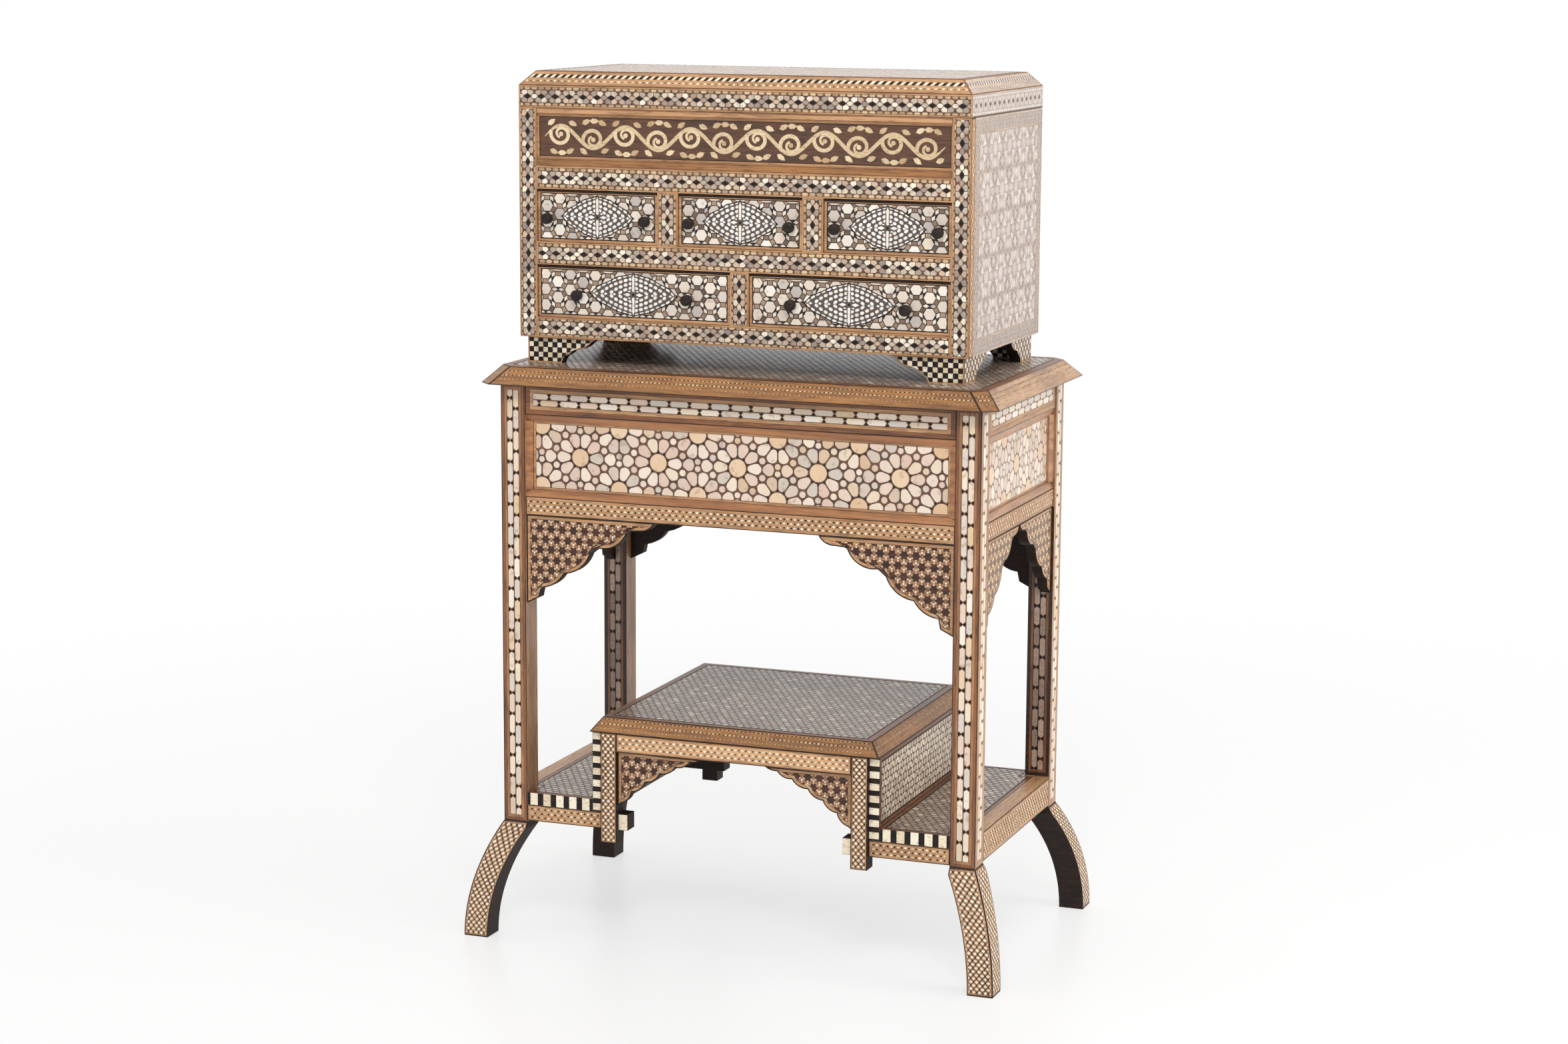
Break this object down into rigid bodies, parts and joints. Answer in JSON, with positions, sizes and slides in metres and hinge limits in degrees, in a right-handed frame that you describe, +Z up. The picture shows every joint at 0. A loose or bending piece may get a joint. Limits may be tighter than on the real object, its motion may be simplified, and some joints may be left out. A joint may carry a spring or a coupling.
{
  "type": "chest on stand",
  "caption": "Inlaid wooden chest with drawers and a hinged lid over a shallow well, on a tall open stand with low shelves and a raised step.",
  "frame": {"origin": "on the floor, under the middle of the stand's posts", "axes": "+X to the right as seen from the front, +Y to the back, +Z up; the drawers pull out along -Y"},
  "size_m": [0.784, 0.484, 1.2165],
  "materials": {
    "dark_top": "dark fine lattice under a satin polish, with a tan inlaid edge",
    "inlaid_frame": "mother of pearl and black pieces set in brown wood, satin",
    "inlaid_feet": "small cream and dark pieces set in tan wood, satin",
    "inlaid_rails": "bands of cream and dark pieces set in tan wood, satin",
    "star_panels": "stars of mother of pearl with brown outlines, satin",
    "star_spandrels": "dark stars on a cream mesh with a tan border, satin",
    "lattice_boards": "fine geometric inlay, bone and ebony at the edges, satin",
    "chest_inlay": "bands of mother of pearl and black lozenges in tan wood, satin",
    "chest_sides": "large interlaced inlay in grey-beige pearl, satin",
    "plain_wood": "dark stained walnut, plain and matt",
    "frieze": "dark walnut with a pale inlaid vine, satin",
    "drawer_inlay": "hexagons of mother of pearl with black outlines, satin",
    "ebony": "turned near-black wood, polished",
    "brass": "aged brass, satin"
  },
  "bodies": {
    "stand_and_chest": {"stand_top": "dark_top", "step_top": "dark_top", "post_front_left": "inlaid_frame", "post_front_right": "inlaid_frame", "post_back_left": "inlaid_frame", "post_back_right": "inlaid_frame", "foot_front_left": "inlaid_feet", "foot_front_right": "inlaid_feet", "foot_back_left": "inlaid_feet", "foot_back_right": "inlaid_feet", "front_rails": "inlaid_rails", "back_rails": "inlaid_rails", "left_rails": "inlaid_rails", "right_rails": "inlaid_rails", "left_shelf_rails": "inlaid_rails", "right_shelf_rails": "inlaid_rails", "step_rails": "inlaid_rails", "step_legs": "inlaid_rails", "front_panel": "star_panels", "back_panel": "star_panels", "left_panel": "star_panels", "right_panel": "star_panels", "front_spandrels": "star_spandrels", "back_spandrels": "star_spandrels", "left_spandrels": "star_spandrels", "right_spandrels": "star_spandrels", "step_spandrels": "star_spandrels", "shelves": "lattice_boards", "step_sides": "lattice_boards", "chest_front_frame": "chest_inlay", "chest_feet": "chest_inlay", "chest_sides": "chest_sides", "chest_back": "plain_wood", "chest_bottom": "plain_wood", "dust_board": "plain_wood", "well_floor": "plain_wood", "drawer_guides": "plain_wood", "frieze_board": "frieze", "chest_hinge_leaves": "brass", "hinge_pins": "brass", "chest_hinge_screws": "brass"},
    "lid": {"lid_rim": "chest_inlay", "lid_top": "chest_inlay", "lid_hinge_leaves": "brass", "lid_hinge_screws": "brass"},
    "small_left_drawer": {"small_left_drawer_front": "drawer_inlay", "small_left_drawer_box": "plain_wood", "small_left_drawer_knobs": "ebony"},
    "small_centre_drawer": {"small_centre_drawer_front": "drawer_inlay", "small_centre_drawer_box": "plain_wood", "small_centre_drawer_knobs": "ebony"},
    "small_right_drawer": {"small_right_drawer_front": "drawer_inlay", "small_right_drawer_box": "plain_wood", "small_right_drawer_knobs": "ebony"},
    "wide_left_drawer": {"wide_left_drawer_front": "drawer_inlay", "wide_left_drawer_box": "plain_wood", "wide_left_drawer_knobs": "ebony"},
    "wide_right_drawer": {"wide_right_drawer_front": "drawer_inlay", "wide_right_drawer_box": "plain_wood", "wide_right_drawer_knobs": "ebony"}
  },
  "joints": [
    {"name": "lid_hinge", "type": "hinge", "parent": "stand_and_chest", "child": "lid", "pos_m": [-0.013, 0.1834, 1.16665], "axis": [-1, 0, 0], "range_deg": [0, 100]},
    {"name": "small_left_drawer_slide", "type": "slide", "parent": "stand_and_chest", "child": "small_left_drawer", "axis": [0, -1, 0], "range_m": [0, 0.22]},
    {"name": "small_centre_drawer_slide", "type": "slide", "parent": "stand_and_chest", "child": "small_centre_drawer", "axis": [0, -1, 0], "range_m": [0, 0.22]},
    {"name": "small_right_drawer_slide", "type": "slide", "parent": "stand_and_chest", "child": "small_right_drawer", "axis": [0, -1, 0], "range_m": [0, 0.22]},
    {"name": "wide_left_drawer_slide", "type": "slide", "parent": "stand_and_chest", "child": "wide_left_drawer", "axis": [0, -1, 0], "range_m": [0, 0.22]},
    {"name": "wide_right_drawer_slide", "type": "slide", "parent": "stand_and_chest", "child": "wide_right_drawer", "axis": [0, -1, 0], "range_m": [0, 0.22]}
  ]
}
